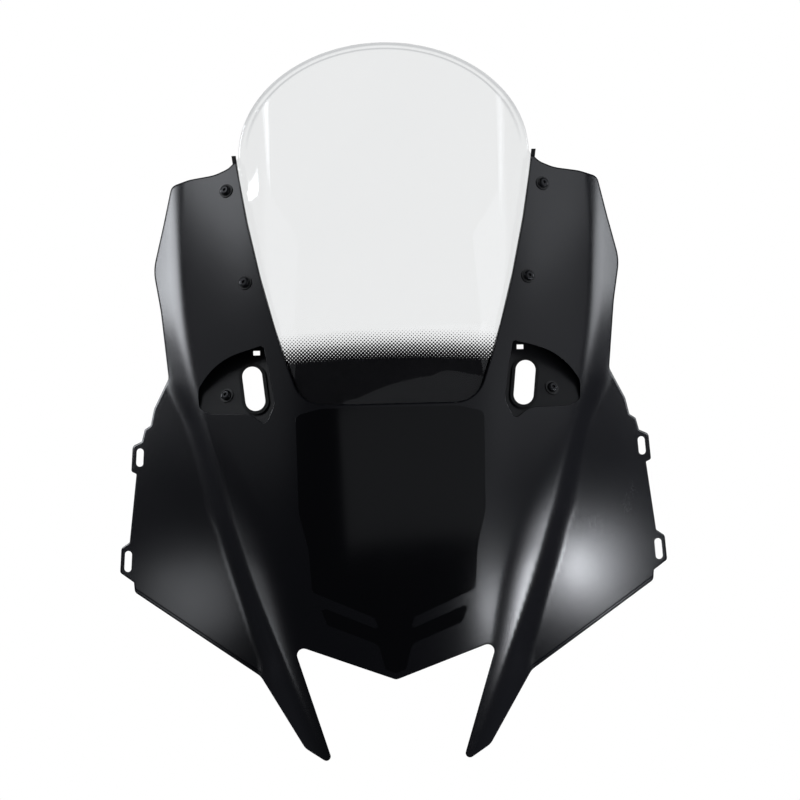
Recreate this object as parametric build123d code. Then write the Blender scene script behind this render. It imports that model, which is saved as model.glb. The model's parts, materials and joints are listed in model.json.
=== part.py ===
from build123d import *
import math
import os

# Upper front cowl of a sport motorcycle with its clear windshield. The pieces are drawn in the face
# plane of the cowl: X across, Y up the face, Z out of the face towards the front. At the end, every
# piece is leant back into the riding position, with the bike's front along -Y and +Z up.

# ---- driving dimensions, mm and degrees ----
RAKE = 60.0  # face plane to the ground
ORIGIN = (0.0, -60.0, -6.0)  # middle of the centre locating pin

WALL = 3.0  # cowl wall
SKIRT_DEPTH = 10.0  # return flange behind the free edges
SKIRT_WALL = 2.6
SCREEN_WALL = 3.0
SEAL_GAP = 1.5  # between the cowl's back and the screen

PROFILE_SLOPE = -0.21  # centre profile at the opening's lower edge
PROFILE_BEND = -0.0006
FACE_RADIUS = 250.0  # cross-section of the nose and horn faces
RIDGE_AT_OPENING = 171.0  # half width between the ridges, level with the opening's lower edge
RIDGE_SLOPE = 0.25
RIDGE_BEND_LOW = -0.00025
RIDGE_BEND_HIGH = -0.00085
WALL_SLOPES = ((-250, 2.0), (-225, 2.4), (-200, 2.3), (-119, 2.1), (-92, 1.85), (-20, 1.85), (27, 1.6))
WING_EDGE = 236.0  # half width of the wings
WING_DEPTH = -117.0  # level of the wings' outer edges
WING_SLOPE = 0.84
WING_CROWN = 0.0012
WING_CROWN_AT = -100.0
WING_BOW = 0.0015  # the wings' curve across
WING_BOW_AT = 193.0
OPENING_SLOPE = 0.36  # half width of the opening: a parabola up the face
OPENING_BEND = -0.00052
OPENING_FOOT = 79.0
RIDGE_FILLET = 12.0

CREASE = 107.0  # half width of the screen's centre panel
CREASE_FROM = 138.0
CREASE_BEND = 0.00236
BULGE_SLOPE = 0.04  # how the screen rises out of the opening, above BULGE_FROM
BULGE_BEND = 0.00028
BULGE_FROM = 40.0
SCREEN_TOP_AT = 225.0
SCREEN_HALF_WIDTH = 131.0
SCREEN_TOP_RISE = 100.5

# half outlines, each point (across, up, corner radius)
NOSE = ((0, -248.5, 6), (92, -214.8, 6), (57.5, -325.5, 4), (83.5, -308.5, 14), (122, -243, 14))
WING = ((234, -165, 5), (237.5, -121, 5), (229.8, -58, 40), (224, -29, 3), (221.5, -18.5, 2), (216, -15, 2))
WAIST = ((212.5, 0, 9), (198.7, 27, 7), (204.5, 88, 180), (210.5, 125, 45), (200.5, 165, 90))
HORN = ((192.3, 200.5, 8), (176, 206, 40), (153, 209.5, 40), (140.6, 215, 14))
TAB_UPPER = ((220, -27, 1), (225, -29.5, 2), (232.8, -33, 4), (234.6, -56, 2.5), (226, -60, 1))
TAB_LOWER = ((232, -117, 1), (238, -120, 3), (245.3, -125, 4), (247, -147, 3), (232, -158, 1))
TAB_SLOTS = ((226.4, -43.5, 16.5), (239.4, -137, 19.0))  # centre and length
TAB_SLOT_WIDTH = 6.4
TAB_SLOT_LEAN = 4.0
RECESS = (
    (103.6, 1, 12), (112, -17, 4), (126, -6.8, 14), (160, -6.2, 12), (171.6, -1, 6),
    (172, 17, 14), (158, 37, 60), (140, 46.5, 60), (112.5, 55, 3), (108.3, 33, 30),
)  # fmt: skip
SCREEN_FLANGE = (
    (0, -16, 0), (74, -16, 28), (101, 30, 60), (106, 60, 8), (129, 76, 14), (139.5, 112, 60),
    (155.5, 194, 8), (142, 206, 8), (SCREEN_HALF_WIDTH, SCREEN_TOP_AT, 0),
)  # fmt: skip
KEEP_CLEAR = ((0, -26, 0), (96, -26, 0), (122, 60, 0), (142, 75, 0), (168, 240, 0))  # no skirt by the screen

SCREWS = {"upper": (142.7, 195.0), "lower": (127.4, 111.6)}
SEAT_SCREW = (146.3, 10.4)
MIRROR_SLOT = (121.9, 16.0)
MIRROR_SLOT_SIZE = (18.0, 40.0)
MIRROR_SLOT_LEAN = 6.0
SEAT_PLANE = (-39.5, 130.0, -0.55, -0.45)  # level at a half width, slope across, slope up
SEAT_FLOOR = 5.0
SEAT_WALL = 2.5
SEAT_CLEARANCE = 0.15  # round the seat's floor
CLIP_WINDOW = (118.6, 48.0)
CLIP_WINDOW_SIZE = (6.0, 4.0)

HOLE_RADIUS = 2.75  # for the M5 screws
THREAD_RADIUS = 2.5
HEAD_RADIUS = 4.75
HEAD_HEIGHT = 2.7
HEX_ACROSS = 3.0
HEX_DEPTH = 1.8
SCREW_LENGTH = 16.0
SEAT_SCREW_LENGTH = 12.0
WASHER_RADIUS = 6.4
WASHER_HEIGHT = 1.0
NUT_BODY_RADIUS = 4.6
NUT_FLANGE_RADIUS = 7.0
NUT_LENGTH = 13.0
INSERT_RADIUS = 3.4
INSERT_LENGTH = 6.0
PLATE_NUT = (14.0, 12.0, 1.6)
FILM = 0.3
FILM_GAP = 0.02  # adhesive under the film
GASKET_WIDTH = 3.0
GASKET_RISE = 2.2
PLATE_HUB = (4.2, 3.0)  # radius and height
PIN_RADIUS = 4.0
PIN_LENGTH = 18.0
PIN_COLLAR = 3.0
PIN_RIBS = (30.0, 46.0, 2.4)  # across, up and thickness
SEAL_WIDTH = 4.0
SEAL_INSIDE = 0.5  # how far the side seals show in the opening
LOWER_SEAL = (120.0, 7.0, 2.0)

FILM_OUTLINE = (
    (0, -3.5, 0), (62, -3.5, 10), (85, -9, 6), (84, -97, 40), (76, -130, 40), (73.5, -168, 3),
    (18, -192.5, 2), (14, -203.5, 2), (67.5, -181, 2.5), (60.5, -198, 2), (15, -216.5, 8),
    (9, -239, 2), (0, -242.5, 0),
)  # fmt: skip

SIDES = {"right": 1, "left": -1}
CLEARANCE = 0.1  # between pieces that only rest on each other
FLANGE_CLEARANCE = 0.25  # a flat flange behind the curved cowl

# ---- how far the construction faces reach ----
TOP = 90.0  # nothing stands further out of the face plane
FLOOR = -240.0  # nothing lies deeper
DEEP = 1500.0
ROWS = (-360.0, -10.0, 340.0)
FACE_WIDTHS = (-300.0, 0.0, 300.0)
WING_WIDTHS = (-310.0, 0.0, 310.0)
WALL_REACH = (480.0, 140.0)  # inside and outside the ridge
WALL_STEPS = 32
WALL_LEAN = (1.85, 0.2)  # the walls' usual slopes, across and up
WING_LEAN = (WING_SLOPE, 0.1)
STRIP_FROM = 44.0  # the screen's panel and strips start here, just above the level of its foot
STRIP_REACH = 12.0  # past the crease and the opening's edge
STRIP_INSIDE = 9.0  # where the strips give way to the panel
STRIP_STEPS = 22
STRIP_LEAN = (1.0, 0.3)


# ---- the shape of the faces ----
def between(v, stations):
    """A smooth value between (place, value) stations, level beyond the ends."""
    if v <= stations[0][0]:
        return stations[0][1]
    for (v0, a), (v1, b) in zip(stations, stations[1:]):
        if v <= v1:
            t = (v - v0) / (v1 - v0)
            return a + (b - a) * t * t * (3 - 2 * t)
    return stations[-1][1]


def face_level(u, v):
    """The nose and horn face: an arc across, swept down the centre profile."""
    return PROFILE_SLOPE * v + PROFILE_BEND * v * v - u * u / (2 * FACE_RADIUS)


def ridge(v):
    bend = RIDGE_BEND_LOW if v < 0 else RIDGE_BEND_HIGH
    return RIDGE_AT_OPENING + RIDGE_SLOPE * v + bend * v * v


def wall_level(u, v):
    """The side wall that falls away outside the ridge."""
    return face_level(ridge(v), v) - between(v, WALL_SLOPES) * (u - ridge(v))


def wing_level(u, v):
    bow = WING_BOW * (u - WING_BOW_AT) ** 2
    return WING_DEPTH + WING_SLOPE * (WING_EDGE - u) - bow - WING_CROWN * (v - WING_CROWN_AT) ** 2


def cowl_level(u, v):
    return min(face_level(u, v), max(wall_level(abs(u), v), wing_level(abs(u), v)))


def seat_level(u, v):
    level, at_width, across, up = SEAT_PLANE
    return level + across * (abs(u) - at_width) + up * v


def opening(v):
    return OPENING_FOOT + OPENING_SLOPE * v + OPENING_BEND * v * v


def crease(v):
    return CREASE - CREASE_BEND * max(CREASE_FROM - v, 0.0) ** 2


def face_lean(u, v):
    """How much deeper than a layer is thick its back lies, measured along Z, on the face."""
    slope_up = PROFILE_SLOPE + 2 * PROFILE_BEND * v
    return 1 + (u / FACE_RADIUS) ** 2 / 2 + slope_up**2 / 2


def behind_face(depth):
    return lambda u, v: face_level(u, v) - depth * face_lean(u, v)


def rise(v):
    return BULGE_SLOPE * (v - BULGE_FROM) + BULGE_BEND * (v - BULGE_FROM) ** 2


def under_level(u, v):
    """The screen where it lies behind the cowl."""
    return behind_face(WALL + SEAL_GAP)(u, v)


def panel_level(u, v):
    """The screen's raised centre panel."""
    return under_level(u, v) + rise(v)


def strip_level(u, v):
    """The screen's side strip: straight from the crease down to the opening's edge."""
    inner, outer = crease(v), opening(v) - 1
    high, low = panel_level(inner, v), under_level(outer, v)
    return high + (low - high) * (u - inner) / (outer - inner)


# ---- building blocks ----
def patch(level, widths, rows):
    """A biquadratic face through three rows of three points."""
    def poles(a, b, c):
        return [a, 2 * b - (a + c) / 2, c]

    lines = [poles(*[level(u, v) for u in widths]) for v in rows]
    levels = [poles(*column) for column in zip(*lines)]
    grid = [[(widths[i], rows[j], levels[i][j]) for i in range(3)] for j in range(3)]
    return Face.make_bezier_surface(grid)


def steps(start, end, count):
    return [start + (end - start) * k / count for k in range(count + 1)]


def ruled(level, inner, outer, rows):
    """A ruled face between two smooth lines that lie on a surface."""
    places = steps(0.0, 1.0, len(rows) - 1)
    lines = [[(u(v), v, level(u(v), v)) for v in rows] for u in (inner, outer)]
    return Face.make_surface_from_curves(*[Edge.make_spline(line, parameters=places) for line in lines])


def behind(face):
    """Everything behind a face."""
    return extrude(face, amount=DEEP, dir=(0, 0, -1))


def shifted(level, drop):
    return lambda u, v: level(u, v) - drop


def outline(points, side=1):
    """A closed face from (across, up, radius) points."""
    places = [(side * u, v) for u, v, r in points]
    return make_face(FilletPolyline(*places, radius=[r for u, v, r in points], close=True))


def whole(half):
    """Both halves of an outline whose end points may lie on the centre line."""
    return list(half) + [(-u, v, r) for u, v, r in reversed(half) if u > 0]


def through(sketch):
    """A prism right through the part, square to the face plane."""
    return extrude(Pos(0, 0, FLOOR) * sketch, amount=TOP - FLOOR, dir=(0, 0, 1))


def only(shape):
    """The shape's largest solid."""
    return max(shape.solids(), key=lambda s: s.volume)


def other_side(shape):
    return mirror(shape, about=Plane.YZ)


def at(level, place, side, above=0.0):
    """A location on a surface, with its Z axis along the surface's normal."""
    u, v = place
    step = 0.5
    across = side * (level(u + step, v) - level(u - step, v)) / (2 * step)
    up = (level(u, v + step) - level(u, v - step)) / (2 * step)
    square = Vector(-across, -up, 1).normalized()
    return Plane(Vector(side * u, v, level(u, v)) + square * above, x_dir=(0, 1, 0), z_dir=square).location


def leaning(slopes):
    """The same as face_lean, for a surface with these slopes across and up."""
    return math.hypot(1, *slopes)


# ---- the blocks that the shells are cut from ----
def cowl_block(depth):
    """Everything further than a depth behind the cowl's surface."""
    face = behind(patch(behind_face(depth), FACE_WIDTHS, ROWS))
    wall_back = shifted(wall_level, depth * leaning(WALL_LEAN))
    inside, outside = WALL_REACH
    rows = steps(ROWS[0], ROWS[2], WALL_STEPS)
    wall = behind(ruled(wall_back, lambda v: ridge(v) - inside, lambda v: ridge(v) + outside, rows))
    wing_back = shifted(wing_level, depth * leaning(WING_LEAN))
    side = wall + behind(patch(wing_back, WING_WIDTHS, ROWS))
    block = face & side & other_side(side)
    bends = sorted(filter(runs_up_front, block.edges()), key=lambda edge: abs((edge @ 0.5).X))
    return fillet(bends[:2], RIDGE_FILLET - depth)


def runs_up_front(edge):
    """True for an edge from the bottom to the top of a block, on its front and inside its sides."""
    middle = edge @ 0.5
    tall = edge.bounding_box().size.Y > 0.99 * (ROWS[2] - ROWS[0])
    return tall and middle.Z > -200 and 5 < abs(middle.X) < 290


COWL_BLOCK = cowl_block(0)
COWL_CORE = cowl_block(WALL)
OPENING_EDGE = [(opening(v), v, 300) for v in (165, 105, 50)]
COWL_OUTLINE = outline(
    whole([*NOSE, *WING, *WAIST, *HORN, (opening(221), 222, 1.5), *OPENING_EDGE, (OPENING_FOOT, 0, 28)])
)


def deeper(block, drop):
    return Pos(0, 0, -drop) * block


def slab(outer, inner, sketch):
    return (through(sketch) & outer) - inner


def hole(level, place, side, radius):
    return at(level, place, side) * Cylinder(radius, 60)


def centre_pin():
    """The locating pin behind the nose, on a gusseted collar."""
    shoulder = ORIGIN[2] + PIN_LENGTH / 2
    height = cowl_level(0, ORIGIN[1]) - shoulder
    middle = Pos(0, ORIGIN[1], shoulder + height / 2)
    pin = Pos(*ORIGIN) * Cylinder(PIN_RADIUS, PIN_LENGTH)
    tip = pin.edges().sort_by(Axis.Z)[0]
    across, up, wall = PIN_RIBS
    ribs = middle * Box(wall, up, height) + middle * Box(across, wall, height)
    collar = middle * Cylinder(PIN_RADIUS + PIN_COLLAR, height) + ribs
    return chamfer(tip, 1.0) + (collar & deeper(COWL_BLOCK, WALL / 3))


def nose_cowl():
    """The painted cowl with its return flanges, tabs and locating pin."""
    sketch = COWL_OUTLINE
    for side in SIDES.values():
        sketch += outline(TAB_UPPER, side)
        sketch += outline(TAB_LOWER, side)
        sketch -= outline(RECESS, side)
    body = slab(COWL_BLOCK, COWL_CORE, sketch)
    rim = COWL_OUTLINE - offset(COWL_OUTLINE, amount=-SKIRT_WALL) - outline(whole(KEEP_CLEAR))
    body += slab(COWL_BLOCK, deeper(COWL_BLOCK, SKIRT_DEPTH), rim)
    body += centre_pin()
    for side in SIDES.values():
        for u, v, length in TAB_SLOTS:
            turn = Rot(0, 0, 90 + side * TAB_SLOT_LEAN)
            body -= through(Pos(side * u, v) * turn * SlotOverall(length, TAB_SLOT_WIDTH))
        for place in SCREWS.values():
            body -= hole(cowl_level, place, side, HOLE_RADIUS)
    return only(body)


def screen_block(depth):
    """Everything further than a depth behind the screen's surface."""
    raised = behind_face(WALL + SEAL_GAP + depth)
    under = behind(patch(raised, FACE_WIDTHS, ROWS))
    panel = behind(patch(lambda u, v: raised(u, v) + rise(v), FACE_WIDTHS, ROWS))
    rows = steps(STRIP_FROM, ROWS[2], STRIP_STEPS)
    strip_back = shifted(strip_level, depth * leaning(STRIP_LEAN))
    strip = ruled(strip_back, lambda v: crease(v) - STRIP_REACH, lambda v: opening(v) + STRIP_REACH, rows)
    centre = [(crease(v) - STRIP_INSIDE, v) for v in rows]
    inside = make_face(Polyline(*centre, *[(-u, v) for u, v in reversed(centre)], close=True))
    strips = behind(strip) + through(inside) + other_side(behind(strip))
    return (panel & strips) + under


def windshield():
    """The clear screen: one moulded sheet whose sides and foot tuck behind the cowl."""
    outer = screen_block(0)
    inner = screen_block(SCREEN_WALL)
    sketch = outline(whole(SCREEN_FLANGE))
    sketch += Pos(0, SCREEN_TOP_AT) * Ellipse(SCREEN_HALF_WIDTH, SCREEN_TOP_RISE)
    body = slab(outer, inner, sketch)
    for side in SIDES.values():
        for place in SCREWS.values():
            body -= hole(cowl_level, place, side, NUT_BODY_RADIUS)
    return only(body)


def gap_strip(sketch):
    """A soft strip in the gap between the cowl's back and the screen."""
    return only(slab(COWL_CORE, deeper(COWL_BLOCK, WALL + SEAL_GAP - CLEARANCE / 2), sketch))


def side_seal(side):
    """The strip along one side of the opening, with an end that shows past the horn."""
    heights = (26, 70, 115, 165, 205, 226.5)
    inner = [(side * (opening(v) - SEAL_INSIDE), v) for v in heights]
    outer = [(side * (opening(v) - SEAL_INSIDE + SEAL_WIDTH), v) for v in reversed(heights)]
    return gap_strip(make_face(Polyline(*inner, *outer, close=True)))


def lower_seal():
    width, height, corner = LOWER_SEAL
    return gap_strip(Pos(0, -height) * RectangleRounded(width, height, corner))


def mirror_seat(side):
    """The sunk seat for one mirror: a sloping floor with a wall up to the cowl's back."""
    floor = behind(Rectangle(900, 900).face().moved(at(seat_level, MIRROR_SLOT, side)))
    inside = offset(outline(RECESS, side), amount=-SEAT_CLEARANCE)
    rim = offset(outline(RECESS, side), amount=SEAT_WALL) - inside
    bottom = deeper(floor, SEAT_FLOOR)
    body = slab(floor, bottom, inside) + slab(deeper(COWL_CORE, CLEARANCE), bottom, rim)
    body -= through(mirror_slot(side))
    body -= through(Pos(side * CLIP_WINDOW[0], CLIP_WINDOW[1]) * Rectangle(*CLIP_WINDOW_SIZE))
    return only(body - hole(seat_level, SEAT_SCREW, side, HOLE_RADIUS))


def mirror_slot(side, extra=0.0):
    length, width = MIRROR_SLOT_SIZE[1] + 2 * extra, MIRROR_SLOT_SIZE[0] + 2 * extra
    place = Pos(side * MIRROR_SLOT[0], MIRROR_SLOT[1])
    return place * Rot(0, 0, 90 - side * MIRROR_SLOT_LEAN) * SlotOverall(length, width)


def mirror_gasket(side):
    """The rubber ring on the seat, round the mirror slot."""
    floor = behind(Rectangle(900, 900).face().moved(at(seat_level, MIRROR_SLOT, side)))
    ring = mirror_slot(side, GASKET_WIDTH) - mirror_slot(side)
    return only(slab(deeper(floor, -GASKET_RISE), floor, ring))


def nose_film():
    """The gloss film on the nose: a centre panel that ends in a pair of stripes."""
    front, back = deeper(COWL_BLOCK, -FILM - FILM_GAP), deeper(COWL_BLOCK, -FILM_GAP)
    return only(slab(front, back, outline(whole(FILM_OUTLINE))))


def button_screw(length):
    """An M5 button-head screw with a hexagon socket; the head's underside is at Z 0."""
    head = Cylinder(HEAD_RADIUS, HEAD_HEIGHT, align=(Align.CENTER, Align.CENTER, Align.MIN))
    head = fillet(head.edges().group_by(Axis.Z)[-1], HEAD_HEIGHT - 0.5)
    socket = extrude(RegularPolygon(HEX_ACROSS / 2, 6, major_radius=False), HEX_DEPTH)
    head -= Pos(0, 0, HEAD_HEIGHT - HEX_DEPTH) * socket
    shank = Cylinder(THREAD_RADIUS, length, align=(Align.CENTER, Align.CENTER, Align.MAX))
    return head + chamfer(shank.edges().sort_by(Axis.Z)[0], 0.6)


def ring(outer, inner, low, high):
    """A tube between two heights."""
    tube = Cylinder(outer, high - low) - Cylinder(inner, high - low)
    return Pos(0, 0, (low + high) / 2) * tube


def well_nut():
    """A rubber well nut: a flange in the gap behind the cowl and a body through the screen."""
    top = -WALL
    low = top - SEAL_GAP + CLEARANCE
    flange = ring(NUT_FLANGE_RADIUS, HOLE_RADIUS, low, top - FLANGE_CLEARANCE)
    body = ring(NUT_BODY_RADIUS - CLEARANCE, HOLE_RADIUS, top - NUT_LENGTH, low)
    seat = ring(INSERT_RADIUS, CLEARANCE, top - NUT_LENGTH, top - NUT_LENGTH + INSERT_LENGTH)
    return flange + body - seat


def insert():
    """The threaded brass insert in the end of a well nut."""
    low = -WALL - NUT_LENGTH
    body = ring(INSERT_RADIUS, THREAD_RADIUS, low, low + INSERT_LENGTH)
    collar = ring(NUT_BODY_RADIUS - 0.3, THREAD_RADIUS, low - 0.8, low)
    return body + collar


def plate_nut():
    """A square spring nut with a raised hub, behind the mirror seat."""
    width, depth, height = PLATE_NUT
    plate = Pos(0, 0, -SEAT_FLOOR - height / 2) * Box(width, depth, height)
    hub_radius, hub_height = PLATE_HUB
    hub = ring(hub_radius, THREAD_RADIUS, -SEAT_FLOOR - height - hub_height, -SEAT_FLOOR)
    return plate - Cylinder(THREAD_RADIUS, 4 * SEAT_FLOOR) + hub


def fasteners():
    """Every screw, washer and nut, in place."""
    made = {}
    washer = ring(WASHER_RADIUS, HOLE_RADIUS, 0, WASHER_HEIGHT)
    screw = Pos(0, 0, WASHER_HEIGHT) * button_screw(SCREW_LENGTH)
    for name, side in SIDES.items():
        for row, place in SCREWS.items():
            spot = at(cowl_level, place, side)
            made[f"screen_screw_{row}_{name}"] = spot * screw
            made[f"screen_washer_{row}_{name}"] = spot * washer
            made[f"well_nut_{row}_{name}"] = spot * well_nut()
            made[f"nut_insert_{row}_{name}"] = spot * insert()
        spot = at(seat_level, SEAT_SCREW, side)
        made[f"seat_screw_{name}"] = spot * Pos(0, 0, WASHER_HEIGHT) * button_screw(SEAT_SCREW_LENGTH)
        made[f"seat_washer_{name}"] = spot * washer
        made[f"seat_nut_{name}"] = spot * plate_nut()
    return made


def build():
    made = {
        "nose_cowl": nose_cowl(),
        "windshield": windshield(),
        "lower_seal": lower_seal(),
        "nose_film": nose_film(),
    }
    for name, side in SIDES.items():
        made[f"side_seal_{name}"] = side_seal(side)
        made[f"mirror_seat_{name}"] = mirror_seat(side)
        made[f"mirror_gasket_{name}"] = mirror_gasket(side)
    made.update(fasteners())
    return made


os.makedirs("parts", exist_ok=True)
RIDING_PLACE = Rot(RAKE, 0, 0) * Pos(*[-x for x in ORIGIN])
for node, shape in build().items():
    export_step(RIDING_PLACE * shape, f"parts/{node}.step")
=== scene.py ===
import json
import math

import bmesh
import bpy
import numpy as np
from mathutils import Matrix, Vector, kdtree
from mathutils.geometry import delaunay_2d_cdt


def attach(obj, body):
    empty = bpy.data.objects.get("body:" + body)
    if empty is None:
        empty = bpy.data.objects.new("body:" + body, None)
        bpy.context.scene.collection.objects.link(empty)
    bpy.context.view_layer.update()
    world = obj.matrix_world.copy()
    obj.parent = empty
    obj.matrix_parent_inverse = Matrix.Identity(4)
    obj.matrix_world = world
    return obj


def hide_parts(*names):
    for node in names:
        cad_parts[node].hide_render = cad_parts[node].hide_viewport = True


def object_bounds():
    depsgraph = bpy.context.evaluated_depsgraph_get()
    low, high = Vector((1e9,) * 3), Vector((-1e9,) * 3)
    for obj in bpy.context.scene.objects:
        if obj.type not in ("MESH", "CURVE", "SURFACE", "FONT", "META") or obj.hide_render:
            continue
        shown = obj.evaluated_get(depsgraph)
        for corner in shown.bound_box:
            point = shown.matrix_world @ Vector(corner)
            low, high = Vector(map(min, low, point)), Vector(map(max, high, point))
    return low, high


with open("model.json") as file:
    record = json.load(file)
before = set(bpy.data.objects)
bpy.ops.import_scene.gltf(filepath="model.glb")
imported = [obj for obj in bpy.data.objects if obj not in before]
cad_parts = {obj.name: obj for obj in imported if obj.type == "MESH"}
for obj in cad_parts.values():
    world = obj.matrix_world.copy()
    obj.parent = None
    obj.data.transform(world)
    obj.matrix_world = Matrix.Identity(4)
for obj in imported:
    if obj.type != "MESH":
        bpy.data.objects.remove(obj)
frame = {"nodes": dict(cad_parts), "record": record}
cad_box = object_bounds()

# Lengths are millimetres in the cowl's face frame: u across, v up the face, w out of it towards the
# front. row_frame() turns them into metres in the model's own frame.
MM = 0.001
RAKE = math.radians(60)
ORIGIN = (0.0, -60.0, -6.0)  # the locating pin, in the face frame

# ---- dimensions taken from the CAD model ----
WALL = 3.0  # cowl wall
SKIRT_DEPTH = 10.0  # return flange behind the free edges
SKIRT_WALL = 2.6
SCREEN_WALL = 3.0
SEAL_GAP = 1.5  # between the cowl's back and the screen
PROFILE_SLOPE = -0.21  # centre profile at the opening's lower edge
PROFILE_BEND = -0.0006
FACE_RADIUS = 250.0  # cross-section of the nose and horn faces
RIDGE_AT_OPENING = 171.0  # half width between the ridges, level with the opening's lower edge
RIDGE_SLOPE = 0.25
RIDGE_BEND_LOW = -0.00025
RIDGE_BEND_HIGH = -0.00085
WALL_SLOPES = ((-250, 2.0), (-225, 2.4), (-200, 2.3), (-119, 2.1), (-92, 1.85), (-20, 1.85), (27, 1.6))
WING_EDGE = 236.0  # half width of the wings
WING_DEPTH = -117.0  # level of the wings' outer edges
WING_SLOPE = 0.84
WING_CROWN = 0.0012
WING_CROWN_AT = -100.0
WING_BOW = 0.0015  # the wings' curve across
WING_BOW_AT = 193.0
OPENING_SLOPE = 0.36  # half width of the opening: a parabola up the face
OPENING_BEND = -0.00052
OPENING_FOOT = 79.0
CREASE = 107.0  # half width of the screen's centre panel
CREASE_FROM = 138.0
CREASE_BEND = 0.00236
BULGE_SLOPE = 0.04  # how the screen rises out of the opening, above BULGE_FROM
BULGE_BEND = 0.00028
BULGE_FROM = 40.0
BULGE_RAMP = 30.0
STRIP_INSIDE = 1.0  # the screen's side strips end this far inside the opening
STRIP_SOFT = 1.0
SCREEN_TOP_AT = 225.0
SCREEN_HALF_WIDTH = 131.0
SCREEN_TOP_RISE = 100.5
FILM = 0.3
FILM_GAP = 0.02  # adhesive under the film
COWL_HOLE = 3.65  # radius of the cowl's holes for the screen's screws
SCREEN_HOLE = 4.6

# outlines, each point (across, up, corner radius); those that start on the centre line are half outlines
NOSE = ((0, -248.5, 6), (92, -214.8, 6), (57.5, -325.5, 4), (83.5, -308.5, 14), (122, -243, 14))
WING = (
    (234, -165, 5), (234.7, -156, 1), (247, -147, 3), (245.3, -125, 4), (237.6, -119.8, 2),
    (229.9, -58.2, 1), (234.6, -56, 2.5), (232.8, -33, 4), (224.3, -29.2, 2), (221.5, -18.5, 2),
    (216, -15, 2),
)  # with its two slotted tabs
WAIST = ((212.5, 0, 9), (198.7, 27, 7), (204.5, 88, 180), (210.5, 125, 45), (200.5, 165, 90))
HORN = ((192.3, 200.5, 8), (176, 206, 40), (153, 209.5, 40), (140.6, 215, 14))
OPENING_CORNER = (222.0, 221.0, 1.5)  # its height, the height that gives its half width, its radius
OPENING_HEIGHTS = (165.0, 105.0, 50.0)  # points of the outline between that corner and the foot
OPENING_RADII = (300.0, 28.0)  # at those points and at the foot
TAB_SLOTS = ((226.4, -43.5, 16.5), (239.4, -137, 19.0))  # centre and length
TAB_ROOTS = ((228.0, -62.0, -28.0), (234.0, -160.0, -116.0))  # half width, from and to: no flange outside it
TAB_SLOT_WIDTH = 6.4
TAB_SLOT_LEAN = math.radians(4)
RECESS = (
    (103.6, 1, 12), (112, -17, 4), (126, -6.8, 14), (160, -6.2, 12), (171.6, -1, 6),
    (172, 17, 14), (158, 37, 60), (140, 46.5, 60), (112.5, 55, 3), (108.3, 33, 30),
)
SCREEN_FLANGE = (
    (0, -16, 0), (74, -16, 28), (101, 30, 60), (106, 60, 8), (129, 76, 14), (139.5, 112, 60),
    (155.5, 194, 8), (142, 206, 8),
)
BAND_OUTLINE = ((0, -14, 0), (70, -14, 26), (97.5, 30, 60), (100, 50, 4), (96, 68, 4))
KEEP_CLEAR = ((0, -26, 0), (96, -26, 0), (122, 60, 0), (142, 75, 0), (168, 240, 0))  # no flange by the screen
SCREWS = ((142.7, 195.0), (127.4, 111.6))  # the screen's
FILM_OUTLINE = (
    (0, -3.5, 0), (62, -3.5, 10), (85, -9, 6), (84, -97, 40), (76, -130, 40), (73.5, -168, 3),
    (18, -192.5, 2), (14, -203.5, 2), (67.5, -181, 2.5), (60.5, -198, 2), (15, -216.5, 8),
    (9, -239, 2), (0, -242.5, 0),
)

# ---- shape and finish that only show ----
RIDGE_SOFT = (8.0, 6.0)  # how round the ridges are, at the legs and at the horns
VALLEY_SOFT = (11.0, 5.0)  # the same for the valleys beside the wings
SOFT_SPAN = (-130.0, -30.0)  # the heights between which one turns into the other
SHOULDER_WIDTH = 17.0  # the lower ridges' rounded inner side
SHOULDER_SLOPE = 0.86
SHOULDER_SOFT = 6.0
SHOULDER_SPAN = (-150.0, -130.0)  # it narrows below and above these heights
SHOULDER_RAMP = 110.0
SHOULDER_LIFT = 5.5
WALL_BOW = 0.005  # the upper walls' curve
WALL_BOW_RAMP = 60.0
CREASE_SOFT = 3.5
COWL_EDGE = 1.5  # rounding of the moulded edges
SCREEN_EDGE = 1.3
HOLE_EDGE = 0.4
FLANGE_EDGE = 0.4
FILM_EDGE = 0.06
BAND_EDGE_ROUND = 0.05
CORNER_CUT = 0.29  # where a rounded edge's middle point lies, as a share of the rounding
LIP_WIDTH = 0.055  # the screen's rolled top edge, as a share of its half width
LIP_RISE = 2.6
LIP_FADE = 40.0
PAINTED_LIP_SHADE_LINES = ((0.985, 0.02), (0.945, 0.014))  # where the rolled edge is painted darker, painted shade standing in for the darkening its refraction gives, and how wide
PAINTED_LIP_SHADE_FROM = 5.0  # they fade in above this height
INK = 0.15  # the band's thickness
INK_DEPTH = 0.2  # how far inside the screen's back the band lies, so that it is seen through the glass
BAND_EDGE = 40.0  # top of the solid printed band, on the centre line
BAND_DROP = 4.0  # how much lower the band ends at the sides
BAND_FADE = 27.0  # height of the halftone above it
BAND_HALF = 88.0
DOT_PITCH = 2.3
DOT_SOFT = 0.04
HEM_START = (122.0, -243.0)  # the wings' lower edge gets a painted dark line just inside it: lowered specular that stands in for the shade of a groove the mesh does not have
HEM_SLOPE = (0.8206, 0.5715)  # the edge's direction
HEM_INSET = 3.0
HEM_WIDTH = (0.2, 1.4)
HEM_SHADE_SPECULAR = (0.12, 0.55)  # the paint's specular level in the painted shade line and beside it

# ---- how finely the meshes are made ----
PITCH = 2.4  # between points along an outline
ARC_STEP = 0.3  # radians between points of a rounded corner
COWL_SPACING = 3.0  # between grid points
SCREEN_SPACING = 2.6
BACK_SPACING = 1.4  # the back's spacing, in terms of the front's
GRID_CLEAR = 0.62  # grid points keep this share of the spacing from the outlines
SLOPE_STEP = 0.4
MERGE = 1e-7  # points nearer than this are one point
NO_AREA = 1e-9
SHARP = math.radians(50)  # edges that turn further stay sharp
TOP_STEPS = 90  # along the screen's round top

SIDES = {"right": 1, "left": -1}


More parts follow.
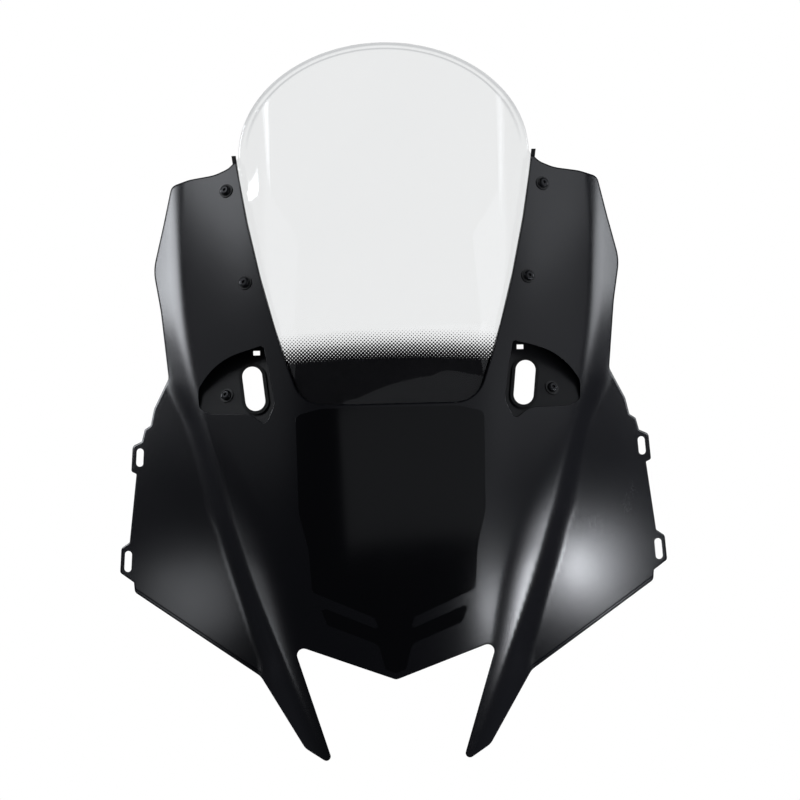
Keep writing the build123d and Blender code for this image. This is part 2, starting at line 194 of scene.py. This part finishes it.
# ---- the shape of the faces ----
def row_frame(u, v, w):
    """Face frame in millimetres to the model's frame in metres."""
    v, w = v - ORIGIN[1], w - ORIGIN[2]
    across = np.asarray(u, float)
    return np.stack(
        [across, v * math.cos(RAKE) - w * math.sin(RAKE), v * math.sin(RAKE) + w * math.cos(RAKE)], -1
    ) * MM


def leant(directions):
    """Directions in the face frame, turned into the model's frame."""
    u, v, w = np.moveaxis(directions, -1, 0)
    return np.stack([u, v * math.cos(RAKE) - w * math.sin(RAKE), v * math.sin(RAKE) + w * math.cos(RAKE)], -1)


def smooth(t):
    t = np.clip(t, 0, 1)
    return t * t * (3 - 2 * t)


def soft_min(a, b, soft):
    """The lower of two levels, rounded where they cross."""
    near = np.maximum(soft - np.abs(a - b), 0) / soft
    return np.minimum(a, b) - near * near * soft / 4


def soft_max(a, b, soft):
    return -soft_min(-a, -b, soft)


def wall_slope(v):
    slope = np.full(np.shape(v), float(WALL_SLOPES[0][1]))
    for (v0, a), (v1, b) in zip(WALL_SLOPES, WALL_SLOPES[1:]):
        slope = np.where(v > v0, a + (b - a) * smooth((v - v0) / (v1 - v0)), slope)
    return slope


def face_level(u, v):
    return PROFILE_SLOPE * v + PROFILE_BEND * v * v - u * u / (2 * FACE_RADIUS)


def ridge(v):
    return RIDGE_AT_OPENING + RIDGE_SLOPE * v + np.where(v < 0, RIDGE_BEND_LOW, RIDGE_BEND_HIGH) * v * v


def wing_level(u, v):
    bow = WING_BOW * (np.abs(u) - WING_BOW_AT) ** 2
    return WING_DEPTH + WING_SLOPE * (WING_EDGE - np.abs(u)) - bow - WING_CROWN * (v - WING_CROWN_AT) ** 2


def cowl_level(u, v):
    """The cowl's front: a crowned face, a ridge on each side, walls falling from it, and the wings."""
    top = ridge(v)
    out = np.abs(u) - top
    bow = WALL_BOW * smooth(v / WALL_BOW_RAMP) * out * np.abs(out)
    wall = face_level(top, v) - wall_slope(v) * out - bow
    start = top - SHOULDER_WIDTH
    shoulder = face_level(start, v) - SHOULDER_SLOPE * (np.abs(u) - start)
    low, high = SHOULDER_SPAN
    lift = SHOULDER_LIFT * (smooth((v - high) / SHOULDER_RAMP) + smooth((low - v) / SHOULDER_RAMP))
    face = soft_min(face_level(u, v), shoulder + lift, SHOULDER_SOFT)
    share = smooth((v - SOFT_SPAN[0]) / (SOFT_SPAN[1] - SOFT_SPAN[0]))
    ridge_soft, valley_soft = (a + (b - a) * share for a, b in (RIDGE_SOFT, VALLEY_SOFT))
    return soft_min(face, soft_max(wall, wing_level(u, v), valley_soft), ridge_soft)


def opening(v):
    return OPENING_FOOT + OPENING_SLOPE * v + OPENING_BEND * v * v


def crease(v):
    return CREASE - CREASE_BEND * np.maximum(CREASE_FROM - v, 0) ** 2


def screen_under(u, v):
    lean = 1 + (u / FACE_RADIUS) ** 2 / 2 + (PROFILE_SLOPE + 2 * PROFILE_BEND * v) ** 2 / 2
    return face_level(u, v) - (WALL + SEAL_GAP) * lean


def screen_panel(u, v):
    rise = np.maximum(v - BULGE_FROM, 0)
    return screen_under(u, v) + BULGE_SLOPE * smooth(rise / BULGE_RAMP) * rise + BULGE_BEND * rise * rise


def screen_level(u, v):
    """The screen: a raised centre panel, two side strips, a flange behind the cowl and a rolled lip."""
    across = np.abs(u)
    inner, outer = crease(v), opening(v) - STRIP_INSIDE
    high, low = screen_panel(inner, v), screen_under(outer, v)
    strip = high + (low - high) * (across - inner) / (outer - inner)
    sheet = soft_max(soft_min(screen_panel(u, v), strip, CREASE_SOFT), screen_under(u, v), STRIP_SOFT)
    share = np.hypot(u / SCREEN_HALF_WIDTH, np.maximum(v - SCREEN_TOP_AT, 0) / SCREEN_TOP_RISE)
    lip = smooth((share - 1 + LIP_WIDTH) / LIP_WIDTH) * smooth((v - SCREEN_TOP_AT) / LIP_FADE)
    return sheet + LIP_RISE * lip


def slopes(level, points):
    u, v = points[:, 0], points[:, 1]
    across = (level(u + SLOPE_STEP, v) - level(u - SLOPE_STEP, v)) / (2 * SLOPE_STEP)
    up = (level(u, v + SLOPE_STEP) - level(u, v - SLOPE_STEP)) / (2 * SLOPE_STEP)
    return across, up


# ---- outlines ----
def whole(half):
    """Both halves of an outline whose end points may lie on the centre line, anticlockwise."""
    return list(half) + [(-u, v, r) for u, v, r in reversed(half) if u > 0]


def on_side(points, side):
    return list(points) if side > 0 else [(-u, v, r) for u, v, r in reversed(points)]


def slot_outline(u, v, length, width, angle):
    """The corners of a round-ended slot, anticlockwise; the length lies along the angle."""
    corners = []
    for a, b in ((-1, -1), (1, -1), (1, 1), (-1, 1)):
        x, y = a * length / 2, b * width / 2
        turned = (x * math.cos(angle) - y * math.sin(angle), x * math.sin(angle) + y * math.cos(angle))
        corners.append((u + turned[0], v + turned[1], width / 2 - 0.01))
    return corners


def circle_outline(u, v, radius, count=20):
    turns = [2 * math.pi * k / count for k in range(count)]
    return [(u + radius * math.cos(t), v + radius * math.sin(t), 0) for t in turns]


def unit(vectors):
    return vectors / np.linalg.norm(vectors, axis=1)[:, None]


def left_of(vectors):
    return np.stack([-vectors[:, 1], vectors[:, 0]], 1)


def rounded(corners, inset=0.0):
    """A loop of points along an outline that is moved inwards. Point k is the same place at any inset."""
    place = np.array([c[:2] for c in corners], float)
    radius = np.array([c[2] for c in corners], float)
    come, go = unit(place - np.roll(place, 1, 0)), unit(np.roll(place, -1, 0) - place)
    turn = np.arctan2(come[:, 0] * go[:, 1] - come[:, 1] * go[:, 0], (come * go).sum(1))
    n_come, n_go = left_of(come), left_of(go)
    moved = place + inset * (n_come + n_go) / (1 + (n_come * n_go).sum(1))[:, None]
    bend = np.where(turn > 0, np.maximum(radius - inset, 0), radius + inset) * (radius > 0)
    half = np.tan(np.abs(turn) / 2)
    run = np.linalg.norm(np.roll(place, -1, 0) - place, axis=1)
    run = run - radius * half - np.roll(radius * half, -1)
    loop = []
    for k, corner in enumerate(moved):
        start = corner - come[k] * bend[k] * half[k]
        side = n_come[k] * math.copysign(1, turn[k])
        centre = start + side * bend[k]
        arc = abs(turn[k]) * radius[k]
        steps = max(math.ceil(arc / PITCH), math.ceil(abs(turn[k]) / ARC_STEP)) if radius[k] else 0
        for j in range(steps + 1):
            a = turn[k] * j / max(steps, 1)
            arm = start - centre
            loop.append(centre + (arm[0] * math.cos(a) - arm[1] * math.sin(a),
                                  arm[0] * math.sin(a) + arm[1] * math.cos(a)))
        after = (k + 1) % len(moved)
        last, following = loop[-1], moved[after] - come[after] * bend[after] * half[after]
        cuts = max(math.ceil(run[k] / PITCH), 1)
        loop += [last + (following - last) * j / cuts for j in range(1, cuts)]
    return np.array(loop)


def inside(points, loops):
    """Which points lie within the first loop and outside the others."""
    odd = np.zeros(len(points), bool)
    x, y = points[:, 0], points[:, 1]
    for loop in loops:
        for (x0, y0), (x1, y1) in zip(loop, np.roll(loop, -1, 0)):
            if y0 != y1:
                odd ^= ((y > y0) != (y > y1)) & (x < x0 + (y - y0) * (x1 - x0) / (y1 - y0))
    return odd


def triangulate(loops, spacing):
    """Points and triangles that fill the loops, with an even grid of points in between."""
    border = np.vstack(loops)
    (u0, v0), (u1, v1) = border.min(0), border.max(0)
    columns = np.arange(-math.ceil(-u0 / spacing), math.ceil(u1 / spacing) + 1) * spacing
    grid = np.array([(u, v) for v in np.arange(v0, v1, spacing) for u in columns])
    grid = grid[inside(grid, loops)]
    tree = kdtree.KDTree(len(border))
    for k, (u, v) in enumerate(border):
        tree.insert((u, v, 0), k)
    tree.balance()
    grid = np.array([p for p in grid if tree.find((*p, 0))[2] > GRID_CLEAR * spacing]).reshape(-1, 2)
    edges, base = [], 0
    for loop in loops:
        edges += [(base + k, base + (k + 1) % len(loop)) for k in range(len(loop))]
        base += len(loop)
    given = np.vstack([border, grid])
    made = delaunay_2d_cdt([Vector(p) for p in given], edges, [], 0, MERGE)
    source = [origin[0] for origin in made[3]]
    triangles = np.array([[source[i] for i in face] for face in made[2]])
    centres = given[triangles].mean(1)
    triangles = triangles[inside(centres, loops)]
    a, b, c = (given[triangles[:, k]] for k in range(3))
    area = (b[:, 0] - a[:, 0]) * (c[:, 1] - a[:, 1]) - (b[:, 1] - a[:, 1]) * (c[:, 0] - a[:, 0])
    triangles[area < 0] = triangles[area < 0][:, ::-1]
    return given, triangles[np.abs(area) > NO_AREA]


# ---- meshes ----
class Sheet:
    """A moulded sheet under construction: its points, the direction each faces, and its faces."""

    def __init__(self, level, wall):
        self.level, self.wall = level, wall
        self.points, self.facing, self.faces, self.kinds = [], [], [], []

    def add(self, flat, drop):
        """Points below the surface, by a drop or, with None, by the wall; returns where they start."""
        across, up = slopes(self.level, flat)
        lean = np.sqrt(1 + across**2 + up**2)
        if drop is None:
            drop = self.wall * lean
        base = sum(len(p) for p in self.points)
        w = self.level(flat[:, 0], flat[:, 1]) - drop
        self.points.append(row_frame(flat[:, 0], flat[:, 1], w))
        facing = np.stack([-across, -up, np.ones(len(flat))], 1) / lean[:, None]
        self.facing.append(leant(facing))
        return base

    def depth(self, flat):
        across, up = slopes(self.level, flat)
        return self.wall * np.sqrt(1 + across**2 + up**2)

    def fill(self, loops, spacing, kind):
        """The front or the back of the sheet; returns where each loop's points start."""
        flat, triangles = triangulate(loops, spacing)
        base = self.add(flat, 0.0 if kind == "front" else None)
        triangles = triangles if kind == "front" else triangles[:, ::-1]
        self.faces += [tuple(int(i) + base for i in t) for t in triangles]
        self.kinds += [kind] * len(triangles)
        starts, at = [], base
        for loop in loops:
            starts.append(at)
            at += len(loop)
        return starts

    def bridge(self, a, b, count, outer):
        """Faces between two rings of points that start at a and b."""
        for k in range(count):
            n = (k + 1) % count
            quad = (a + n, a + k, b + k, b + n)
            self.faces.append(quad if outer else quad[::-1])
            self.kinds.append("rim")

    def mesh(self, name):
        """One closed mesh, with the surface's own normals on its front and back."""
        points, facing = np.vstack(self.points), np.vstack(self.facing)
        _, first, index = np.unique(
            np.round(points / MERGE), axis=0, return_index=True, return_inverse=True
        )
        index = index.ravel()
        points, facing = points[first], facing[first]
        faces, kinds = [], []
        for face, kind in zip(self.faces, self.kinds):
            corners = list(dict.fromkeys(int(index[i]) for i in face))
            if len(corners) > 2:
                faces.append(corners)
                kinds.append(kind)
        mesh = bpy.data.meshes.new(name)
        mesh.from_pydata(points.tolist(), [], faces)
        mesh.validate()
        work = bmesh.new()
        work.from_mesh(mesh)
        for edge in work.edges:
            edge.smooth = edge.calc_face_angle(0) < SHARP
        for face in work.faces:
            face.smooth = True
        work.to_mesh(mesh)
        work.free()
        normals = np.zeros(len(mesh.loops) * 3)
        mesh.corner_normals.foreach_get("vector", normals)
        normals = normals.reshape(-1, 3)
        on_front = {i for face, kind in zip(faces, kinds) if kind == "front" for i in face}
        for face, kind in zip(mesh.polygons, kinds):
            for loop in face.loop_indices:
                vertex = mesh.loops[loop].vertex_index
                if kind == "front" or (kind == "rim" and vertex in on_front):
                    normals[loop] = facing[vertex]
                elif kind == "back":
                    normals[loop] = -facing[vertex]
        mesh.normals_split_custom_set(normals.tolist())
        return mesh


def moulded(name, corners, level, wall, edge, holes=(), skirt=None, spacing=COWL_SPACING):
    """A closed sheet over an outline, with rounded edges, holes and, if asked for, a return flange."""
    sheet = Sheet(level, wall)
    front = [rounded(corners, edge)] + [rounded(hole, -HOLE_EDGE) for hole in holes]
    starts = sheet.fill(front, spacing, "front")
    ends, backs = [], []
    for number, outline in enumerate([corners, *holes]):
        sign, rim = (-1, HOLE_EDGE) if number else (1, edge)
        cut = CORNER_CUT * rim
        count = len(front[number])
        at_edge = rounded(outline)
        deep = sheet.depth(at_edge)
        rings = [(sign * cut, cut), (0, rim)]
        if number == 0 and skirt is not None:
            share = skirt(at_edge)
            far = deep + share * (SKIRT_DEPTH - deep)
            last = rounded(outline, SKIRT_WALL)
            rings += [(0, far - FLANGE_EDGE), (FLANGE_EDGE, far), (SKIRT_WALL - FLANGE_EDGE, far)]
            rings += [(SKIRT_WALL, np.maximum(far - FLANGE_EDGE, sheet.depth(last)))]
        else:
            last = rounded(outline, sign * rim)
            rings += [(0, deep - rim), (sign * cut, deep - cut)]
        before = starts[number]
        for inset, drop in rings:
            ring = sheet.add(rounded(outline, inset), drop)
            sheet.bridge(before, ring, count, number == 0)
            before = ring
        ends.append(before)
        backs.append(last)
    for number, start in enumerate(sheet.fill(backs, spacing * BACK_SPACING, "back")):
        sheet.bridge(ends[number], start, len(backs[number]), number == 0)
    piece = bpy.data.objects.new(name, sheet.mesh(name))
    bpy.context.scene.collection.objects.link(piece)
    return piece


def skirt_share(edge_points):
    """1 where the edge has a return flange, 0 beside the screen and round the tabs."""
    clear = inside(edge_points, [rounded(whole(KEEP_CLEAR))])
    across, up = np.abs(edge_points[:, 0]), edge_points[:, 1]
    for width, low, high in TAB_ROOTS:
        clear |= (across > width) & (up > low) & (up < high)
    clear = clear.astype(float)
    near = np.mean([np.roll(clear, k) for k in range(-2, 3)], 0)
    return 1 - near


# ---- materials ----
BLACK_PAINT = ("satin_black_paint", ((0.004, 0.004, 0.0055), (0.008, 0.008, 0.0105)), (0.23, 0.28), 900, 0.03)
BLACK_INK = ("printed_band", ((0.0015, 0.0015, 0.002), (0.004, 0.004, 0.005)), (0.3, 0.4), 700, 0.02)
BLACK_FILM = ("gloss_black_film", ((0.0015, 0.0015, 0.002), (0.003, 0.003, 0.004)), (0.09, 0.16), 500, 0.02)
CLEAR_TINTS = ((0.84, 0.85, 0.853), (0.868, 0.875, 0.877))
# painted shade: the grey the rolled edge's lines are painted, standing in for the darkening its refraction
# gives
PAINTED_LIP_SHADE = (0.6, 0.61, 0.62)
ACRYLIC_IOR = 1.49
HAZE = 0.035  # the clear screen's roughness where it is most hazy

# For each slot of the CAD nodes that keep their shape: name, two colours, range of roughness, scale of
# the grain, bump, scale of the patches, then what else the shader is told.
NODE_FINISHES = {
    "seat_plastic": (
        "moulded_black_plastic", ((0.004, 0.004, 0.005), (0.009, 0.009, 0.010)), (0.34, 0.46), 1500, 0.15,
        9, {"Specular IOR Level": 0.25},
    ),
    "rubber": (
        "black_rubber", ((0.003, 0.003, 0.003), (0.007, 0.007, 0.007)), (0.45, 0.62), 1100, 0.2,
        9, {"Specular IOR Level": 0.2},
    ),
    "screw_black": (
        "black_oxide_steel", ((0.01, 0.01, 0.011), (0.05, 0.05, 0.053)), (0.22, 0.4), 1800, 0.12,
        220, {"Metallic": 0.75},
    ),
    "nylon": (
        "black_nylon", ((0.008, 0.008, 0.008), (0.016, 0.016, 0.016)), (0.35, 0.5), 1300, 0.15,
        9, {},
    ),
    "brass": (
        "turned_brass", ((0.55, 0.38, 0.13), (0.72, 0.55, 0.25)), (0.2, 0.38), 1600, 0.12,
        160, {"Metallic": 1.0},
    ),
    "zinc_steel": (
        "zinc_plated_steel", ((0.42, 0.43, 0.42), (0.6, 0.6, 0.58)), (0.25, 0.42), 1400, 0.12,
        180, {"Metallic": 1.0},
    ),
}


def node(tree, kind, settings=None, **sockets):
    """A node with its settings and sockets; a socket's value may be another node's output."""
    made = tree.nodes.new("ShaderNode" + kind)
    for key, value in (settings or {}).items():
        setattr(made, key, value)
    for key, value in sockets.items():
        numbered = key[0] == "i" and key[1:].isdigit()
        socket = made.inputs[int(key[1:]) if numbered else key]
        if isinstance(value, bpy.types.NodeSocket):
            tree.links.new(value, socket)
        else:
            socket.default_value = value
    return made.outputs


def math_node(tree, operation, *values):
    return node(tree, "Math", {"operation": operation}, **{f"i{k}": x for k, x in enumerate(values)})[0]


def remap(tree, value, given, wanted, kind="LINEAR"):
    """A value's given range turned into the wanted one, and held at its ends."""
    ends = dict(zip(("i1", "i2", "i3", "i4"), (*given, *wanted)))
    return node(tree, "MapRange", {"interpolation_type": kind}, Value=value, **ends)[0]


def mix(tree, share, a, b):
    return node(tree, "Mix", {"data_type": "RGBA"}, Factor=share, A=a, B=b)[2]


def new_material(name):
    material = bpy.data.materials.new(name)
    material.use_nodes = True
    tree = material.node_tree
    place = node(tree, "TexCoord")["Object"]
    return material, tree, tree.nodes["Principled BSDF"], place


def finish(name, colours, roughness, grain, bump, patch=9, settings=None):
    """A material with slow changes of colour and gloss, and a fine grain in the surface."""
    material, tree, shader, place = new_material(name)
    slow = node(tree, "TexNoise", Vector=place, Scale=patch, Detail=4.0, Roughness=0.6)[0]
    colour = mix(tree, slow, (*colours[0], 1), (*colours[1], 1))
    tree.links.new(colour, shader.inputs["Base Color"])
    fine = node(tree, "TexNoise", Vector=place, Scale=grain, Detail=3.0, Roughness=0.65)[0]
    slow_part, fine_part = math_node(tree, "MULTIPLY", slow, 0.7), math_node(tree, "MULTIPLY", fine, 0.3)
    gloss = remap(tree, math_node(tree, "ADD", slow_part, fine_part), (0.3, 0.7), roughness)
    tree.links.new(gloss, shader.inputs["Roughness"])
    raised = node(tree, "Bump", Strength=bump, Distance=0.0002, Height=fine)[0]
    tree.links.new(raised, shader.inputs["Normal"])
    for key, value in (settings or {}).items():
        shader.inputs[key].default_value = value
    return material, tree, shader, place


def face_coordinates(tree, place):
    """u and v of the face frame, in millimetres, from the model's own coordinates."""
    parts = node(tree, "SeparateXYZ", Vector=place)
    across = math_node(tree, "MULTIPLY", parts[0], 1 / MM)
    low = math_node(tree, "MULTIPLY", parts[1], math.cos(RAKE) / MM)
    up = math_node(tree, "MULTIPLY_ADD", parts[2], math.sin(RAKE) / MM, low)
    return across, math_node(tree, "ADD", up, ORIGIN[1])


def satin_paint():
    """Satin black paint, with a painted dull line along the wings' lower edges that stops at the legs:
    lowered specular that stands in for the shade of an unmodelled groove.
    """
    material, tree, shader, place = finish(*BLACK_PAINT)
    across, up = face_coordinates(tree, place)
    out = math_node(tree, "SUBTRACT", math_node(tree, "ABSOLUTE", across), HEM_START[0])
    rise = math_node(tree, "SUBTRACT", up, HEM_START[1])
    inward = math_node(
        tree, "SUBTRACT",
        math_node(tree, "MULTIPLY", rise, HEM_SLOPE[0]), math_node(tree, "MULTIPLY", out, HEM_SLOPE[1]),
    )
    beside = math_node(tree, "ABSOLUTE", math_node(tree, "SUBTRACT", inward, HEM_INSET))
    beyond = math_node(tree, "MAXIMUM", math_node(tree, "MULTIPLY", out, -1.0), 0.0)
    # painted shade: the specular level dips in a thin line inside the wings' lower edges, standing in for a
    # groove's shade
    painted_hem_shade = remap(tree, math_node(tree, "ADD", beside, beyond), HEM_WIDTH, HEM_SHADE_SPECULAR, "SMOOTHSTEP")
    tree.links.new(painted_hem_shade, shader.inputs["Specular IOR Level"])
    return material


def clear_screen():
    """Clear moulded acrylic with faint haze, and painted shade lines along its rolled edge that stand in for
    the darkening its refraction gives.
    """
    material, tree, shader, place = new_material("clear_acrylic")
    slow = node(tree, "TexNoise", Vector=place, Scale=6.0, Detail=5.0, Roughness=0.6)[0]
    tint_and_lip_shade = mix(tree, slow, (*CLEAR_TINTS[0], 1), (*CLEAR_TINTS[1], 1))
    across, up = face_coordinates(tree, place)
    above = math_node(tree, "MAXIMUM", math_node(tree, "SUBTRACT", up, SCREEN_TOP_AT), 0.0)
    wide = math_node(tree, "POWER", math_node(tree, "DIVIDE", across, SCREEN_HALF_WIDTH), 2.0)
    tall = math_node(tree, "POWER", math_node(tree, "DIVIDE", above, SCREEN_TOP_RISE), 2.0)
    share = math_node(tree, "SQRT", math_node(tree, "ADD", wide, tall))
    at_top = remap(tree, above, (PAINTED_LIP_SHADE_FROM, LIP_FADE), (0.0, 1.0))
    # painted shade: two darker lines mixed into the tint along the rolled top edge
    for line, width in PAINTED_LIP_SHADE_LINES:
        away = math_node(tree, "ABSOLUTE", math_node(tree, "SUBTRACT", share, line))
        near = remap(tree, away, (0.0, width), (1.0, 0.0), "SMOOTHSTEP")
        tint_and_lip_shade = mix(tree, math_node(tree, "MULTIPLY", near, at_top), tint_and_lip_shade, (*PAINTED_LIP_SHADE, 1))
    tree.links.new(tint_and_lip_shade, shader.inputs["Base Color"])
    tree.links.new(remap(tree, slow, (0.3, 0.75), (0.0, HAZE)), shader.inputs["Roughness"])
    shader.inputs["Transmission Weight"].default_value = 1.0
    shader.inputs["IOR"].default_value = ACRYLIC_IOR
    return material


def printed_band():
    """Black ink on the back of the screen: solid at the foot, breaking up into dots above."""
    material, tree, shader, place = finish(*BLACK_INK, settings={"Specular IOR Level": 0.03})
    across, up = face_coordinates(tree, place)
    share = math_node(tree, "DIVIDE", across, BAND_HALF)
    arch = math_node(tree, "MULTIPLY", math_node(tree, "MULTIPLY", share, share), BAND_DROP)
    above = math_node(tree, "SUBTRACT", math_node(tree, "ADD", up, arch), BAND_EDGE)
    thin = math_node(tree, "DIVIDE", above, BAND_FADE)
    turn = 2 * math.pi / (DOT_PITCH * math.sqrt(2))
    one, two = (
        math_node(tree, "COSINE", math_node(tree, "MULTIPLY", math_node(tree, way, across, up), turn))
        for way in ("ADD", "SUBTRACT")
    )
    dots = math_node(tree, "MULTIPLY_ADD", math_node(tree, "ADD", one, two), 0.25, 0.5)
    ink = remap(tree, math_node(tree, "SUBTRACT", dots, thin), (-DOT_SOFT, DOT_SOFT), (0.0, 1.0))
    solid = math_node(tree, "LESS_THAN", above, 0.0)
    tree.links.new(math_node(tree, "MAXIMUM", ink, solid), shader.inputs["Alpha"])
    return material


# ---- pieces ----
def dress(piece, material):
    piece.data.materials.clear()
    piece.data.materials.append(material)
    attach(piece, "root")


def build_cowl(paint):
    height, level_with, radius = OPENING_CORNER
    opening_edge = [(opening(level_with), height, radius)]
    opening_edge += [(opening(v), v, OPENING_RADII[0]) for v in OPENING_HEIGHTS]
    opening_edge += [(OPENING_FOOT, 0, OPENING_RADII[1])]
    outline = whole([*NOSE, *WING, *WAIST, *HORN, *opening_edge])
    holes = []
    for side in SIDES.values():
        holes.append(on_side(RECESS, side))
        holes += [circle_outline(side * u, v, COWL_HOLE) for u, v in SCREWS]
        angle = math.pi / 2 + side * TAB_SLOT_LEAN
        holes += [slot_outline(side * u, v, length, TAB_SLOT_WIDTH, angle) for u, v, length in TAB_SLOTS]
    cowl = moulded("cowl_shell", outline, cowl_level, WALL, COWL_EDGE, holes, skirt_share)
    dress(cowl, paint)
    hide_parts("nose_cowl")


def build_screen(material, ink):
    turns = [math.pi * k / TOP_STEPS for k in range(TOP_STEPS + 1)]
    top = [(SCREEN_HALF_WIDTH * math.cos(t), SCREEN_TOP_AT + SCREEN_TOP_RISE * math.sin(t), 0) for t in turns]
    foot = whole(SCREEN_FLANGE)
    middle = len(SCREEN_FLANGE)
    outline = foot[:middle] + top + foot[middle:]
    holes = [circle_outline(side * u, v, SCREEN_HOLE) for side in SIDES.values() for u, v in SCREWS]
    screen = moulded(
        "screen_sheet", outline, screen_level, SCREEN_WALL, SCREEN_EDGE, holes, spacing=SCREEN_SPACING
    )
    dress(screen, material)
    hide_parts("windshield")

    def behind(u, v):
        points = np.stack([np.ravel(u), np.ravel(v)], 1)
        across, up = slopes(screen_level, points)
        lean = np.sqrt(1 + across**2 + up**2).reshape(np.shape(u))
        return screen_level(u, v) - (SCREEN_WALL - INK_DEPTH) * lean

    band = moulded("screen_band", whole(BAND_OUTLINE), behind, INK, BAND_EDGE_ROUND, spacing=SCREEN_SPACING)
    dress(band, ink)


def build_film(material):
    def above(u, v):
        return cowl_level(u, v) + FILM + FILM_GAP

    film = moulded("nose_graphic", whole(FILM_OUTLINE)[::-1], above, FILM, FILM_EDGE)
    dress(film, material)
    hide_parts("nose_film")


def finish_nodes():
    """New materials for the CAD nodes that keep their shape."""
    materials = {slot: finish(*values)[0] for slot, values in NODE_FINISHES.items()}
    slots = {part["node"]: part["material_slot"] for part in frame["record"]["subparts"]}
    for name, piece in frame["nodes"].items():
        if slots.get(name) in materials:
            piece.data.materials.clear()
            piece.data.materials.append(materials[slots[name]])


# ---- camera, backdrop and lights ----
SENSOR_WIDTH = 36.0
CAMERA_DISTANCE = 30000.0
CLIP_END = 100.0  # metres
VIEW_WIDTH = 719.0
VIEW_CENTRE = (9.4, 2.7)
VIEW_ROLL = math.radians(1.4)
STAGE_SIZE = 45.0  # metres; the camera stands inside
FLOOR_GAP = 0.002
SOFTBOX_TINT = (0.92, 0.95, 1.0)
SOFTBOXES = (  # name, place, aim and size in the face frame, and power
    ("light_right_low", (1145, -310, 185), (160, -140, -60), (110, 130), 1.7),
    ("light_right_soft", (1140, -330, 200), (160, -140, -60), (400, 320), 1.9),
    ("light_left_soft", (-1145, -390, 110), (-160, -140, -60), (320, 260), 0.62),
    ("light_right_wall", (1130, 345, -460), (200, 110, -100), (540, 300), 2.15),
    ("light_left_wall", (-1130, 355, -480), (-200, 110, -100), (520, 380), 4.7),
    ("light_right_top", (975, 890, 160), (150, 200, -60), (600, 500), 1.1),
    ("light_left_top", (-975, 900, 160), (-150, 200, -60), (600, 360), 2.3),
    ("light_right_fill", (1350, 640, 660), (120, 60, -40), (1100, 700), 1.1),
    ("light_left_fill", (-1350, 640, 660), (-120, 60, -40), (1100, 700), 0.6),
    ("light_front_right", (950, -230, 1080), (60, -190, 0), (180, 100), 2.1),
    ("light_front", (600, 750, 2600), (0, -60, 0), (3600, 1100), 3.2),
)
WORLD_TINT = (0.8, 0.85, 1.0)
WORLD_STRENGTH = 0.05


def place_camera():
    data = bpy.data.cameras.new("camera")
    data.sensor_width = SENSOR_WIDTH
    data.lens = SENSOR_WIDTH * CAMERA_DISTANCE / VIEW_WIDTH
    data.clip_end = CLIP_END
    camera = bpy.data.objects.new("camera", data)
    bpy.context.scene.collection.objects.link(camera)
    eye, target = (Vector(row_frame(*VIEW_CENTRE, depth)) for depth in (CAMERA_DISTANCE, 0.0))
    look = (target - eye).to_track_quat("-Z", "Y").to_matrix() @ Matrix.Rotation(-VIEW_ROLL, 3, "Z")
    camera.matrix_world = Matrix.Translation(eye) @ look.to_4x4()
    bpy.context.scene.camera = camera


def plain(name, make_mesh):
    """A white backdrop piece: seen directly and through the clear screen, but not in reflections."""
    mesh = bpy.data.meshes.new(name)
    work = bmesh.new()
    make_mesh(work)
    work.to_mesh(mesh)
    work.free()
    piece = bpy.data.objects.new(name, mesh)
    bpy.context.scene.collection.objects.link(piece)
    material = bpy.data.materials.new(name + "_white")
    material.use_nodes = True
    shader = material.node_tree.nodes["Principled BSDF"]
    shader.inputs["Emission Color"].default_value = (1, 1, 1, 1)
    shader.inputs["Emission Strength"].default_value = 1.0
    shader.inputs["Base Color"].default_value = (0, 0, 0, 1)
    shader.inputs["Roughness"].default_value = 1.0
    shader.inputs["Specular IOR Level"].default_value = 0.0
    piece.data.materials.append(material)
    piece.visible_glossy = piece.visible_diffuse = piece.visible_shadow = False
    return piece


def build_stage():
    floor = plain("floor", lambda work: bmesh.ops.create_grid(
        work, x_segments=1, y_segments=1, size=STAGE_SIZE))
    floor.location.z = cad_box[0][2] - FLOOR_GAP
    plain("backdrop", lambda work: bmesh.ops.create_uvsphere(
        work, u_segments=48, v_segments=24, radius=STAGE_SIZE))


def softbox(name, place, aim, size, power):
    data = bpy.data.lights.new(name, "AREA")
    data.shape = "RECTANGLE"
    data.size, data.size_y = (x * MM for x in size)
    data.energy = power
    data.color = SOFTBOX_TINT
    lamp = bpy.data.objects.new(name, data)
    bpy.context.scene.collection.objects.link(lamp)
    start, end = Vector(row_frame(*place)), Vector(row_frame(*aim))
    upward = Vector(leant(np.array((0.0, 1.0, 0.0))))
    back = (start - end).normalized()
    across = upward.cross(back).normalized()
    turn = np.eye(4)
    turn[:3, 0], turn[:3, 1], turn[:3, 2], turn[:3, 3] = across, back.cross(across), back, start
    lamp.matrix_world = Matrix(turn.tolist())
    lamp.visible_camera = False


def build_lights():
    for box in SOFTBOXES:
        softbox(*box)
    world = bpy.data.worlds.new("studio")
    bpy.context.scene.world = world
    world.use_nodes = True
    background = world.node_tree.nodes["Background"]
    background.inputs["Color"].default_value = (*WORLD_TINT, 1)
    background.inputs["Strength"].default_value = WORLD_STRENGTH


place_camera()
build_cowl(satin_paint())
build_screen(clear_screen(), printed_band())
build_film(finish(*BLACK_FILM, settings={"Specular IOR Level": 0.4})[0])
finish_nodes()
build_stage()
build_lights()
bpy.context.scene.view_settings.view_transform = "Standard"
